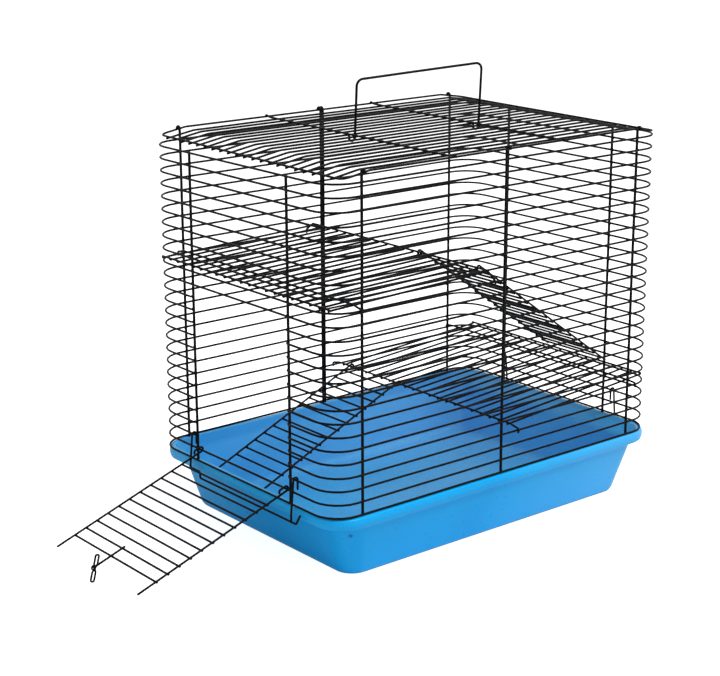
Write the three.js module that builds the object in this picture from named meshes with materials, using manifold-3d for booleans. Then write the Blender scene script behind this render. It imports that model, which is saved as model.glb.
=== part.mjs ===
// Rodent cage: wire walls, roof, two shelves and two ramps over a moulded tray.
// Millimetres, +Z up. The origin is the centre of the tray's underside.
// The long walls face -Y and +Y. The door is in the end wall at -X, let down as an outside ramp.

import * as THREE from 'three';
import { mergeVertices } from 'three/addons/utils/BufferGeometryUtils.js';
import { ParametricGeometry } from 'three/addons/geometries/ParametricGeometry.js';
import Module from 'manifold-3d';

// Wire sizes and clearances
const wireSize = 1.8;
const postSize = 2.4;
const handleWireSize = 2.2;
const catchWireSize = 1.6;
const wirePitch = 12.7;
const seatGap = 0.3;
const weldSink = 0.4;
const hookPlay = 0.6;
const hookRadius = wireSize + hookPlay;
const crossStep = wireSize - weldSink;

// Tray, measured from the cage that stands on it
const trayHeight = 64.7;
const trayWall = 2;
const rimOverhang = { x: 1.5, y: 3.5 };
const rimInsideInset = { x: 5, y: 3.5 };
const trayWallInset = { x: 15.5, y: 1.5 };
const trayTaper = { x: 14.5, y: 15.3 };
const rimRound = 0.5;
const rimInsideRadiusShare = 0.84;
const trayWallRadiusShare = 0.87;
const trayBaseRadiusShare = 0.55;
const trayFootRound = 2;
const trayFootRise = 2.5;
const trayWallDrop = 11.7;
const rimUnderDrop = 10.7;
const rimUnderInset = 1.5;
const rimBellyDrop = 6.7;
const rimShoulderDrop = 1.2;
const rimShoulderInset = 0.5;
const rimTopInset = 3;

// Wall wires, numbered from 1 at the top
const cageLength = 418.1;
const cageWidth = 282.8;
const cornerRadius = 27.5;
const wallWireCount = 25;
const topWireGap = 12.2;
const upperShelfWireNumber = 10;
const doorTopWireNumber = 12;
const lowerShelfWireNumber = 21;
const lockWireNumber = 23;
const hingeWireNumber = 24;
const stubLength = 3;

// Wall posts, measured from the walls' ends
const frontPostInset = 35.75;
const frontMiddleShift = -2;
const backLeftPostInset = 34.35;
const backRightPostInset = 31.35;
const endPostInset = 65.9;

// Roof
const roofRise = 7.8;
const roofDroop = 5;
const roofDroopRun = 32;
const roofTip = 2;
const roofEndInset = 13;
const roofFrameRadius = 8;
const gridMargin = 8;
const handleWireX = 68.2;
const roofHookRun = 5;

// Carrying handle. Its feet are placed in wire spacings from the middle.
const handleFootShares = { left: 0.3, right: -1.7 };
const handleLeftRise = 54.2;
const handleRightRise = 62;
const handleLeftTopX = 67;
const handleRightTopX = 71;
const handleCorner = 9;
const handleEyeRadius = 2.6;
const handleEyeDrop = 2.5;
const handleCurl = 4.5;
const handleLean = THREE.MathUtils.degToRad(6);

// Shelves
const upperShelfPitch = 13.1;
const upperShelfSpan = 160.3;
const upperShelfInset = 30.85;
const upperShelfOuterLift = 4.4;
const upperShelfInnerLift = 9.5;
const lowerShelfSpan = 163.9;
const lowerShelfInset = 28.75;
const lowerShelfOuterLift = 3.1;
const lowerShelfInnerLift = 4.4;
const shelfEndInset = 5;
const shelfTip = 1;
const shelfHookRun = 9;

// Ramps. Their rails are placed in wire spacings of the shelf that they hang from.
const upperRampShares = { front: -9.2, back: -2.8 };
const upperRampShift = 41;
const upperRampRungLead = 15;
const lowerRampShares = { front: 2.7, back: 8.8 };
const lowerRampShift = 9.6;
const lowerRampRungLead = 9.5;
const lowerRampFootZ = 31;
const lowerRampFootPlay = 1.5;
const rampTip = 1.2;
const rampRungPitch = 13.2;
const rampHookEnd = THREE.MathUtils.degToRad(-140);

// Door and catch
const doorDrop = THREE.MathUtils.degToRad(19.1);
const doorSideRoom = 6.1;
const doorShift = -2.1;
const doorFrontTip = 0.5;
const doorBackTip = 3;
const doorRungLead = 23.6;
const doorRungPitch = 12.8;
const doorRungCount = 11;
const doorRailEnd = 21.3;
const doorLoopRun = 5.5;
const doorStemLead = 2.5;
const doorStemY = 3.2;
const doorLoopEnd = THREE.MathUtils.degToRad(-20);
const catchDrop = 5.8;
const catchLean = THREE.MathUtils.degToRad(34);
const catchLobeLength = 13.6;
const catchLobeHalfWidth = 2.6;
const catchEyeBore = 1.4;
const catchEyeWall = 1.3;
const catchPinProud = 0.8;

// Tray locks
const lockPostRoom = 2.5;
const lockFrontLead = 10.7;
const lockInnerLeg = 7;
const lockClear = 3.1;
const lockBackLeg = 33;
const lockBarDrop = 39.5;
const lockBackFoot = 16.5;
const lockFrontRun = 7.5;
const lockFrontSlant = 6.2;
const lockFrontUpturn = 10.3;
const lockBend = 2;

// Shapes of the round stretches
const cornerSteps = 4;
const hookSteps = 5;
const bendSteps = 3;
const circleSteps = 6;
const mergeShare = 5e-5;

// Places that follow the sizes above
const wallHalfX = cageLength / 2;
const wallHalfY = cageWidth / 2;
const lowestWireZ = trayHeight + seatGap + wireSize / 2;
const endPostY = wallHalfY - endPostInset;
const roofEndX = wallHalfX - roofEndInset;
const roofFlatHalf = roofEndX + roofTip - roofDroopRun;
const gridHalfCount = Math.floor((wallHalfY - gridMargin) / wirePitch);
const trayWallRise = trayHeight - trayWallDrop;
const lockReach = rimOverhang.x + lockClear + wireSize / 2;

const trayRim = {
  halfX: wallHalfX + rimOverhang.x,
  halfY: wallHalfY + rimOverhang.y,
  radius: cornerRadius + rimRound,
};
const rimInside = {
  halfX: wallHalfX - rimInsideInset.x,
  halfY: wallHalfY - rimInsideInset.y,
  radius: cornerRadius * rimInsideRadiusShare,
};
const trayWallTop = {
  halfX: wallHalfX - trayWallInset.x,
  halfY: wallHalfY - trayWallInset.y,
  radius: cornerRadius * trayWallRadiusShare,
};
const trayBase = {
  halfX: trayWallTop.halfX - trayTaper.x,
  halfY: trayWallTop.halfY - trayTaper.y,
  radius: cornerRadius * trayBaseRadiusShare,
};

const quarterTurn = Math.PI / 2;
const halfTurn = Math.PI;

const wasm = await Module();
wasm.setup();

const wireMaterial = { color: 0x0b0b0d, roughness: 0.32, metalness: 0.6 };
const trayMaterial = { color: 0x0a7fd6, roughness: 0.35, metalness: 0 };

const cage = new THREE.Group();

// Small helpers for points and closed solids

function at(u, v) {
  return new THREE.Vector2(u, v);
}

function mirrored(points) {
  return points.map((point) => at(-point.x, point.y)).reverse();
}

function shifted(points, u, v) {
  return points.map((point) => at(point.x + u, point.y + v));
}

function solidFrom(geometry) {
  const bare = geometry.clone();
  bare.deleteAttribute('normal');
  bare.deleteAttribute('uv');
  const merged = mergeVertices(bare, wireSize * mergeShare);
  const corners = merged.index.array;
  const kept = [];
  for (let i = 0; i < corners.length; i += 3) {
    const [a, b, c] = [corners[i], corners[i + 1], corners[i + 2]];
    if (a !== b && b !== c && c !== a) kept.push(a, b, c);
  }
  const vertProperties = Float32Array.from(merged.attributes.position.array);
  const triVerts = Uint32Array.from(kept);
  return new wasm.Manifold(new wasm.Mesh({ numProp: 3, vertProperties, triVerts }));
}

function welded(geometries) {
  const joined = geometries.map(solidFrom).reduce((sum, next) => sum.add(next));
  const mesh = joined.getMesh();
  const geometry = new THREE.BufferGeometry();
  geometry.setAttribute('position', new THREE.BufferAttribute(mesh.vertProperties, 3));
  geometry.setIndex(new THREE.BufferAttribute(mesh.triVerts, 1));
  geometry.computeVertexNormals();
  return geometry;
}

function addPiece(name, geometries, material) {
  const piece = new THREE.Mesh(welded(geometries), new THREE.MeshStandardMaterial(material));
  piece.name = name;
  cage.add(piece);
}

// Wires: a square section along a flat path, then turned into the plane where it lies

function wireAlong(path, size) {
  const left = [];
  const right = [];
  path.forEach((point, i) => {
    const before = path[Math.max(i - 1, 0)];
    const after = path[Math.min(i + 1, path.length - 1)];
    const arriving = i > 0 ? point.clone().sub(before) : after.clone().sub(point);
    const leaving = i < path.length - 1 ? after.clone().sub(point) : arriving.clone();
    arriving.normalize();
    leaving.normalize();
    const along = arriving.clone().add(leaving).normalize();
    const side = at(-along.y, along.x).multiplyScalar(size / 2 / along.dot(arriving));
    left.push(point.clone().add(side));
    right.push(point.clone().sub(side));
  });
  const outline = new THREE.Shape([...left, ...right.reverse()]);
  const geometry = new THREE.ExtrudeGeometry(outline, { depth: size, bevelEnabled: false });
  return geometry.translate(0, 0, -size / 2);
}

function inPlaneXZ(geometry, y) {
  return geometry.rotateX(quarterTurn).translate(0, y, 0);
}

function inPlaneYZ(geometry, x) {
  return geometry.rotateX(quarterTurn).rotateZ(quarterTurn).translate(x, 0, 0);
}

function straightY(x, z, fromY, toY, size) {
  return inPlaneYZ(wireAlong([at(fromY, z), at(toY, z)], size), x);
}

function arc(centreU, centreV, radius, fromAngle, toAngle, clockwise, steps) {
  const curve = new THREE.EllipseCurve(centreU, centreV, radius, radius, fromAngle, toAngle, clockwise);
  return curve.getPoints(steps);
}

function rounded(corners, radius) {
  const path = [corners[0]];
  for (let i = 1; i < corners.length - 1; i += 1) {
    const back = corners[i - 1].clone().sub(corners[i]).normalize();
    const onward = corners[i + 1].clone().sub(corners[i]).normalize();
    const reach = radius / Math.tan(Math.acos(back.dot(onward)) / 2);
    const start = corners[i].clone().addScaledVector(back, reach);
    const end = corners[i].clone().addScaledVector(onward, reach);
    path.push(...new THREE.QuadraticBezierCurve(start, corners[i], end).getPoints(bendSteps));
  }
  path.push(corners[corners.length - 1]);
  return path;
}

// A hook over a wire at (0, 0): it arrives from -u at the given level and curls over and down.
// Angles are measured from straight up, turning towards +u.
function hookOver(level, run, radius, endAngle) {
  const start = Math.atan2(level, run) - Math.asin(radius / Math.hypot(level, run));
  const curl = arc(0, 0, radius, quarterTurn - start, quarterTurn - endAngle, true, hookSteps);
  return [at(-run, level), ...curl];
}

// Tray: one moulded shell, open at the top, with a rolled rim

function outlinePoint(level, index) {
  const corner = Math.floor(index / (cornerSteps + 1)) % 4;
  const step = index % (cornerSteps + 1);
  const angle = quarterTurn * (corner + step / cornerSteps);
  const signX = corner === 0 || corner === 3 ? 1 : -1;
  const signY = corner < 2 ? 1 : -1;
  const x = signX * (level.halfX - level.radius) + level.radius * Math.cos(angle);
  const y = signY * (level.halfY - level.radius) + level.radius * Math.sin(angle);
  return new THREE.Vector3(x, y, level.z);
}

function trayLevel(size, inset, z) {
  return { halfX: size.halfX - inset, halfY: size.halfY - inset, radius: size.radius - inset, z };
}

function trayGeometry() {
  const levels = [
    { halfX: 0, halfY: 0, radius: 0, z: 0 },
    trayLevel(trayBase, trayFootRound, 0),
    trayLevel(trayBase, 0, trayFootRise),
    trayLevel(trayWallTop, 0, trayWallRise),
    trayLevel(trayRim, rimUnderInset, trayHeight - rimUnderDrop),
    trayLevel(trayRim, 0, trayHeight - rimBellyDrop),
    trayLevel(trayRim, rimShoulderInset, trayHeight - rimShoulderDrop),
    trayLevel(trayRim, rimTopInset, trayHeight),
    trayLevel(rimInside, 0, trayHeight),
    trayLevel(trayWallTop, trayWall, trayWallRise),
    trayLevel(trayBase, trayWall, trayWall + trayFootRise),
    trayLevel(trayBase, trayWall + trayFootRound, trayWall),
    { halfX: 0, halfY: 0, radius: 0, z: trayWall },
  ];
  const outlineCount = 4 * (cornerSteps + 1);
  const place = (across, up, target) => {
    const level = levels[Math.round(up * (levels.length - 1))];
    target.copy(outlinePoint(level, Math.round(across * outlineCount) % outlineCount));
  };
  return new ParametricGeometry(place, outlineCount, levels.length - 1);
}

// Wall wires: bent rounded rectangles, cut open where the door is

function wallWireZ(number) {
  const regular = lowestWireZ + (wallWireCount - Math.max(number, 2)) * wirePitch;
  return number === 1 ? regular + topWireGap : regular;
}

function roundedRectangle(outline, halfX, halfY, radius) {
  outline.absarc(halfX - radius, halfY - radius, radius, 0, quarterTurn);
  outline.absarc(radius - halfX, halfY - radius, radius, quarterTurn, halfTurn);
  outline.absarc(radius - halfX, radius - halfY, radius, halfTurn, halfTurn + quarterTurn);
  outline.absarc(halfX - radius, radius - halfY, radius, halfTurn + quarterTurn, 2 * halfTurn);
  outline.closePath();
  return outline;
}

function closedWallWire(z) {
  const half = wireSize / 2;
  const outer = [wallHalfX + half, wallHalfY + half, cornerRadius + half];
  const inner = [wallHalfX - half, wallHalfY - half, cornerRadius - half];
  const outline = roundedRectangle(new THREE.Shape(), ...outer);
  outline.holes.push(roundedRectangle(new THREE.Path(), ...inner));
  const options = { depth: wireSize, bevelEnabled: false, curveSegments: cornerSteps / 2 };
  return new THREE.ExtrudeGeometry(outline, options).translate(0, 0, z - half);
}

function openWallWire(z) {
  const stubY = endPostY - postSize / 2 - stubLength;
  const cornerX = wallHalfX - cornerRadius;
  const cornerY = wallHalfY - cornerRadius;
  const half = [
    at(-wallHalfX, stubY),
    ...arc(-cornerX, cornerY, cornerRadius, halfTurn, quarterTurn, true, cornerSteps),
    ...arc(cornerX, cornerY, cornerRadius, quarterTurn, 0, true, cornerSteps),
  ];
  const otherHalf = half.map((point) => at(point.x, -point.y)).reverse();
  return wireAlong([...half, ...otherHalf], wireSize).translate(0, 0, z);
}

function addWallWires() {
  for (let number = 1; number <= wallWireCount; number += 1) {
    const cut = number >= doorTopWireNumber && number < hingeWireNumber;
    const build = cut ? openWallWire : closedWallWire;
    const name = `wall_wire_${String(number).padStart(2, '0')}`;
    addPiece(name, [build(wallWireZ(number))], wireMaterial);
  }
}

// Posts: upright wires inside the wall wires. Those of the long walls curl over the roof frame.

function roofZ(x) {
  const past = Math.max(Math.abs(x) - roofFlatHalf, 0);
  return wallWireZ(1) + roofRise - roofDroop * past / roofDroopRun;
}

function postInset() {
  return (wireSize + postSize) / 2 + seatGap;
}

function sidePost(x, side) {
  const frameZ = roofZ(x) + crossStep;
  const radius = postInset();
  const curl = arc(0, wireSize / 2, radius, halfTurn, 0, true, hookSteps);
  const bottom = lowestWireZ - wireSize / 2;
  const path = [at(-radius, bottom - frameZ), ...curl, at(radius, -wireSize / 2)];
  const wire = wireAlong(shifted(path, wallHalfY, frameZ), postSize);
  const placed = inPlaneYZ(wire, x);
  return side > 0 ? placed : placed.rotateZ(halfTurn).translate(2 * x, 0, 0);
}

function endPost(side, y) {
  const bottom = lowestWireZ - wireSize / 2;
  const top = wallWireZ(1) + wireSize / 2;
  const wire = wireAlong([at(0, bottom), at(0, top)], postSize);
  return inPlaneXZ(wire, y).translate(side * (wallHalfX - postInset()), 0, 0);
}

function addPosts() {
  const seamX = (postSize + seatGap) / 2;
  const sidePosts = [
    ['front_left_post', frontPostInset - wallHalfX, -1],
    ['front_middle_post', frontMiddleShift, -1],
    ['front_right_post', wallHalfX - frontPostInset, -1],
    ['back_left_post', backLeftPostInset - wallHalfX, 1],
    ['back_seam_post_left', -seamX, 1],
    ['back_seam_post_right', seamX, 1],
    ['back_right_post', wallHalfX - backRightPostInset, 1],
  ];
  sidePosts.forEach(([name, x, side]) => addPiece(name, [sidePost(x, side)], wireMaterial));
  const endPosts = [
    ['door_post_back', -1, endPostY],
    ['door_post_front', -1, -endPostY],
    ['right_end_post_back', 1, endPostY],
    ['right_end_post_front', 1, -endPostY],
  ];
  endPosts.forEach(([name, side, y]) => addPiece(name, [endPost(side, y)], wireMaterial));
}

// Roof: long wires that droop at both ends, a bent frame and two cross wires on top

function droopingWire(halfLength, y, lift) {
  const half = [at(roofFlatHalf, roofZ(0) + lift), at(halfLength, roofZ(halfLength) + lift)];
  return inPlaneXZ(wireAlong([...mirrored(half), ...half], wireSize), y);
}

function roofFrameEnd(side) {
  const slope = Math.atan2(roofDroop, roofDroopRun);
  const startX = roofEndX - roofFrameRadius - weldSink;
  const end = (roofEndX - startX) / Math.cos(slope);
  const cornerU = end - roofFrameRadius;
  const cornerV = wallHalfY - roofFrameRadius;
  const corner = arc(cornerU, cornerV, roofFrameRadius, quarterTurn, 0, true, bendSteps);
  const half = [at(0, wallHalfY), ...corner];
  const otherHalf = half.map((point) => at(point.x, -point.y)).reverse();
  const wire = wireAlong([...half, ...otherHalf], wireSize).rotateY(slope);
  wire.translate(startX, 0, roofZ(startX) + crossStep);
  return side > 0 ? wire : wire.rotateZ(halfTurn);
}

function roofCrossWire(x) {
  const z = roofZ(x) + crossStep;
  const hook = shifted(hookOver(0, roofHookRun, crossStep, halfTurn * 2 / 3), wallHalfY, z);
  return inPlaneYZ(wireAlong([...mirrored(hook), ...hook], wireSize), x);
}

function gridPlaces(pitch) {
  const places = [];
  for (let i = -gridHalfCount; i <= gridHalfCount; i += 1) places.push(i * pitch);
  return places;
}

function addRoof() {
  const frameSide = roofEndX - roofFrameRadius;
  const wires = gridPlaces(wirePitch).map((y) => droopingWire(roofEndX + roofTip, y, 0));
  wires.push(droopingWire(frameSide, wallHalfY, crossStep));
  wires.push(droopingWire(frameSide, -wallHalfY, crossStep));
  wires.push(roofFrameEnd(-1), roofFrameEnd(1));
  wires.push(roofCrossWire(-handleWireX), roofCrossWire(handleWireX));
  addPiece('roof_panel', wires, wireMaterial);
}

// Carrying handle: one wire with an eye bent at each foot around a roof cross wire

function handleEye(u) {
  const bottom = arc(u, -handleEyeDrop, handleEyeRadius, halfTurn, 2 * halfTurn, false, hookSteps);
  return [at(u - handleEyeRadius, handleCurl - handleEyeDrop), ...bottom];
}

function addHandle() {
  const leftY = handleFootShares.left * wirePitch;
  const rightY = handleFootShares.right * wirePitch;
  const yaw = Math.atan2(rightY - leftY, 2 * handleWireX);
  const span = handleWireX / Math.cos(yaw);
  const leftEye = handleEye(-span);
  const rightEye = handleEye(span).reverse();
  const grip = rounded([
    leftEye[leftEye.length - 1],
    at(-handleLeftTopX, handleLeftRise),
    at(handleRightTopX, handleRightRise),
    rightEye[0],
  ], handleCorner);
  const path = [...leftEye.slice(0, -1), ...grip, ...rightEye.slice(1)];
  const wire = inPlaneXZ(wireAlong(path, handleWireSize), 0);
  wire.rotateX(handleLean).rotateZ(yaw);
  wire.translate(0, (leftY + rightY) / 2, roofZ(0) + crossStep);
  addPiece('carrying_handle', [wire], wireMaterial);
}

// Shelves: grids that rest on wall wires. Two of their cross wires hook over the long walls.
// Distances along a shelf are measured from the middle of the cage towards its end wall.

const upperShelf = {
  side: -1,
  pitch: upperShelfPitch,
  innerX: wallHalfX - upperShelfInset - upperShelfSpan,
  outerX: wallHalfX - upperShelfInset,
  innerWire: upperShelfWireNumber,
  outerWire: upperShelfWireNumber,
  innerLift: upperShelfInnerLift,
  outerLift: upperShelfOuterLift,
};
const lowerShelf = {
  side: 1,
  pitch: wirePitch,
  innerX: wallHalfX - lowerShelfInset - lowerShelfSpan,
  outerX: wallHalfX - lowerShelfInset,
  innerWire: lowerShelfWireNumber + 1,
  outerWire: lowerShelfWireNumber,
  innerLift: lowerShelfInnerLift,
  outerLift: lowerShelfOuterLift,
};
const shelfEndX = wallHalfX - shelfEndInset;

function shelfZ(shelf, distance) {
  const innerZ = wallWireZ(shelf.innerWire) + shelf.innerLift;
  const outerZ = wallWireZ(shelf.outerWire) + shelf.outerLift;
  const share = (distance - shelf.innerX) / (shelf.outerX - shelf.innerX);
  return THREE.MathUtils.lerp(innerZ, outerZ, share);
}

function shelfHookWire(shelf, distance, wallWire) {
  const centreZ = wallWireZ(wallWire);
  const level = shelfZ(shelf, distance) - centreZ;
  const hook = hookOver(level, shelfHookRun, hookRadius, halfTurn * 5 / 6);
  const placed = shifted(hook, wallHalfY, centreZ);
  const wire = wireAlong([...mirrored(placed), ...placed], wireSize);
  return inPlaneYZ(wire, shelf.side * distance);
}

function shelfLongWire(shelf, y) {
  const inner = shelf.innerX - shelfTip;
  const outer = shelfEndX + shelfTip;
  const path = [inner, outer].map((x) => at(shelf.side * x, shelfZ(shelf, x) - crossStep));
  return inPlaneXZ(wireAlong(path, wireSize), y);
}

function addShelf(name, shelf) {
  const halfWidth = gridHalfCount * shelf.pitch + shelfTip;
  const endZ = shelfZ(shelf, shelfEndX);
  const wires = gridPlaces(shelf.pitch).map((y) => shelfLongWire(shelf, y));
  wires.push(straightY(shelf.side * shelfEndX, endZ, -halfWidth, halfWidth, wireSize));
  wires.push(shelfHookWire(shelf, shelf.outerX, shelf.outerWire));
  wires.push(shelfHookWire(shelf, shelf.innerX, shelf.innerWire));
  addPiece(name, wires, wireMaterial);
}

// Ramps: two rails hooked over a shelf's inner wire, with rungs welded under them.
// run and fall reach from the hook's centre to the point that the rails' offset line must meet.

function rampPitch(run, fall, offset) {
  return Math.atan2(fall, run) + Math.asin(offset / Math.hypot(run, fall));
}

function rampRail(length, pitch) {
  const curl = arc(0, 0, hookRadius, quarterTurn - rampHookEnd, quarterTurn - pitch, true, hookSteps);
  const foot = at(Math.cos(pitch), -Math.sin(pitch)).multiplyScalar(length).add(curl[curl.length - 1]);
  return wireAlong([...curl, foot], wireSize);
}

function addRamp(name, ramp) {
  const { hookX, hookZ, frontY, backY, rungLead, length, pitch, yaw, turn } = ramp;
  const turned = (rail) => rail.rotateX(quarterTurn).rotateZ(turn + yaw);
  const railAt = (y) => turned(rampRail(length, pitch)).translate(hookX, y, hookZ);
  const pieces = [railAt(frontY), railAt(backY)];
  const facing = Math.cos(turn);
  for (let along = rungLead; along < length - wireSize; along += rampRungPitch) {
    const run = along * Math.cos(pitch) + hookRadius * Math.sin(pitch);
    const drop = along * Math.sin(pitch) - hookRadius * Math.cos(pitch);
    const x = hookX + facing * run * Math.cos(yaw);
    const shift = facing * run * Math.sin(yaw);
    const z = hookZ - drop - crossStep / Math.cos(pitch);
    const [startY, endY] = [frontY + shift - rampTip, backY + shift + rampTip];
    pieces.push(straightY(x, z, startY, endY, wireSize));
  }
  addPiece(name, pieces, wireMaterial);
}

function hangingFrom(shelf, shares, rungLead) {
  return {
    hookX: shelf.side * shelf.innerX,
    hookZ: shelfZ(shelf, shelf.innerX),
    frontY: shares.front * shelf.pitch,
    backY: shares.back * shelf.pitch,
    rungLead,
  };
}

function addUpperRamp() {
  const ramp = hangingFrom(upperShelf, upperRampShares, upperRampRungLead);
  const reachX = shelfEndX - ramp.hookX;
  const yaw = Math.atan2(upperRampShift, reachX);
  const run = reachX / Math.cos(yaw);
  const fall = ramp.hookZ - shelfZ(lowerShelf, shelfEndX);
  const pitch = rampPitch(run, fall, hookRadius - wireSize - seatGap);
  const length = (run - hookRadius * Math.sin(pitch)) / Math.cos(pitch);
  addRamp('upper_ramp', { ...ramp, length, pitch, yaw, turn: 0 });
}

function trayInsideX(z) {
  const low = trayWall + trayFootRise;
  const share = (z - low) / (trayWallRise - low);
  return THREE.MathUtils.lerp(trayBase.halfX, trayWallTop.halfX, share) - trayWall;
}

function addLowerRamp() {
  const ramp = hangingFrom(lowerShelf, lowerRampShares, lowerRampRungLead);
  const footX = trayInsideX(lowerRampFootZ) - lowerRampFootPlay - wireSize / 2;
  const reachX = ramp.hookX + footX;
  const yaw = Math.atan2(lowerRampShift, reachX);
  const run = reachX / Math.cos(yaw);
  const fall = ramp.hookZ - lowerRampFootZ;
  const pitch = rampPitch(run, fall, hookRadius);
  const length = (run - hookRadius * Math.sin(pitch)) / Math.cos(pitch);
  addRamp('lower_ramp', { ...ramp, length, pitch, yaw, turn: halfTurn });
}

// Door: built lying flat, with +X away from the hinge and +Z towards the inside of the cage,
// then turned round and let down about the hinge wire. Its front edge is therefore built at +Y.
// Its rails lie outside the wall wires when it is shut.

const latchReach = wallWireZ(upperShelfWireNumber) - wallWireZ(hingeWireNumber) - catchDrop;

function onDoor(geometry) {
  return geometry.rotateZ(halfTurn).rotateY(-doorDrop).translate(-wallHalfX, 0, wallWireZ(hingeWireNumber));
}

function disc(outer, inner, thickness) {
  const outline = new THREE.Shape().absarc(0, 0, outer, 0, 2 * halfTurn);
  outline.holes.push(new THREE.Path().absarc(0, 0, inner, 0, 2 * halfTurn));
  const options = { depth: thickness, bevelEnabled: false, curveSegments: circleSteps };
  return new THREE.ExtrudeGeometry(outline, options).translate(0, 0, -thickness / 2);
}

function doorRail(length, y) {
  const near = arc(0, 0, hookRadius, quarterTurn * 3, quarterTurn, true, hookSteps);
  const far = arc(doorLoopRun, 0, hookRadius, quarterTurn, doorLoopEnd, true, hookSteps);
  return inPlaneXZ(wireAlong([at(length, -hookRadius), ...near, ...far], wireSize), y);
}

function addDoor() {
  const railSpread = endPostY - doorSideRoom;
  const [frontY, backY] = [railSpread - doorShift, -railSpread - doorShift];
  const lastRung = doorRungLead + (doorRungCount - 1) * doorRungPitch;
  const pieces = [frontY, backY].map((y) => doorRail(lastRung + doorRailEnd, y));
  for (let i = 0; i < doorRungCount; i += 1) {
    const distance = doorRungLead + i * doorRungPitch;
    const level = -hookRadius - crossStep;
    pieces.push(straightY(distance, level, backY - doorBackTip, frontY + doorFrontTip, wireSize));
  }
  const stemStart = lastRung - doorRungPitch - doorStemLead;
  const stemEnd = latchReach - catchEyeBore - catchEyeWall / 2;
  const stem = wireAlong([at(stemStart, -hookRadius), at(stemEnd, -hookRadius)], wireSize);
  pieces.push(inPlaneXZ(stem, -doorStemY));
  const eye = inPlaneXZ(disc(catchEyeBore + catchEyeWall, catchEyeBore, wireSize), 0);
  pieces.push(eye.translate(latchReach, -doorStemY, -hookRadius));
  addPiece('door_panel', pieces.map(onDoor), wireMaterial);
}

// Door catch: a figure-eight of wire that turns in the eye at the end of the door's stem

function catchLobe(side) {
  const near = catchLobeHalfWidth - catchWireSize / 2;
  const far = catchLobeLength - catchLobeHalfWidth;
  const loop = (outline, radius) => {
    outline.absarc(0, near, radius, halfTurn, 2 * halfTurn);
    outline.absarc(0, far, radius, 0, halfTurn);
    return outline.closePath();
  };
  const outline = loop(new THREE.Shape(), catchLobeHalfWidth);
  outline.holes.push(loop(new THREE.Path(), catchLobeHalfWidth - catchWireSize));
  const options = { depth: catchWireSize, bevelEnabled: false, curveSegments: bendSteps };
  const lobe = new THREE.ExtrudeGeometry(outline, options).translate(0, 0, -catchWireSize / 2);
  return inPlaneXZ(side > 0 ? lobe : lobe.rotateZ(halfTurn), 0);
}

function addCatch() {
  const lobeY = (wireSize + catchWireSize) / 2 + seatGap;
  const pinEnd = wireSize / 2 + catchPinProud;
  const pin = straightY(0, 0, -pinEnd, lobeY, catchWireSize);
  const pieces = [catchLobe(1), catchLobe(-1)].map((lobe) => lobe.translate(0, lobeY, 0));
  const turned = [...pieces, pin].map((piece) => piece.rotateY(-catchLean));
  const inEye = turned.map((piece) => piece.translate(latchReach, -doorStemY, -hookRadius));
  const placed = inEye.map(onDoor);
  addPiece('door_catch', placed, wireMaterial);
}

// Tray locks: a wire bail at each end, hooked over a wall wire, that swings down over the rim

function lockLeg(side, y, drop) {
  const path = [
    at(-hookRadius, -lockInnerLeg),
    ...arc(0, 0, hookRadius, halfTurn, 0, true, hookSteps),
    at(lockReach, -lockBackLeg),
  ];
  if (drop > lockBackLeg) path.push(at(lockReach, -drop));
  const sided = path.map((point) => at(side * point.x, point.y));
  return inPlaneXZ(wireAlong(sided, wireSize), y);
}

function addLock(name, side) {
  const backY = endPostY + lockPostRoom;
  const frontY = -endPostY - lockFrontLead;
  const innerY = backY - lockBackFoot;
  const outerY = frontY - lockFrontRun;
  const foot = rounded([
    at(backY, -lockBackLeg),
    at(innerY, -lockBackLeg),
    at(innerY, -lockBarDrop),
    at(outerY, -lockBarDrop),
    at(outerY - lockFrontSlant, lockFrontUpturn - lockBarDrop),
  ], lockBend);
  const pieces = [
    lockLeg(side, backY, lockBackLeg),
    lockLeg(side, frontY, lockBarDrop),
    inPlaneYZ(wireAlong(foot, wireSize), side * lockReach),
  ];
  const place = (piece) => piece.translate(side * wallHalfX, 0, wallWireZ(lockWireNumber));
  addPiece(name, pieces.map(place), wireMaterial);
}

addPiece('tray', [trayGeometry()], trayMaterial);
addWallWires();
addPosts();
addRoof();
addHandle();
addShelf('upper_shelf', upperShelf);
addShelf('lower_shelf', lowerShelf);
addUpperRamp();
addLowerRamp();
addDoor();
addCatch();
addLock('tray_lock_left', -1);
addLock('tray_lock_right', 1);

export default cage;
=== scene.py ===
# %% [markdown]
# A small wire rodent cage on a blue moulded tray.
# The cage is almost all wire, so this lesson is mostly about one thing: how to turn a bent line into
# a round, coated wire that looks bent and welded by a machine and not drawn by a computer.
# The construction model already gives every wire its place. Here each one gets its round section,
# its slight unevenness, its weld beads and its finish.

# %% Load the construction model
from math import asin, atan2, cos, hypot, pi, radians, sin, tan

import bpy
from mathutils import Matrix, Vector, noise


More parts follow.
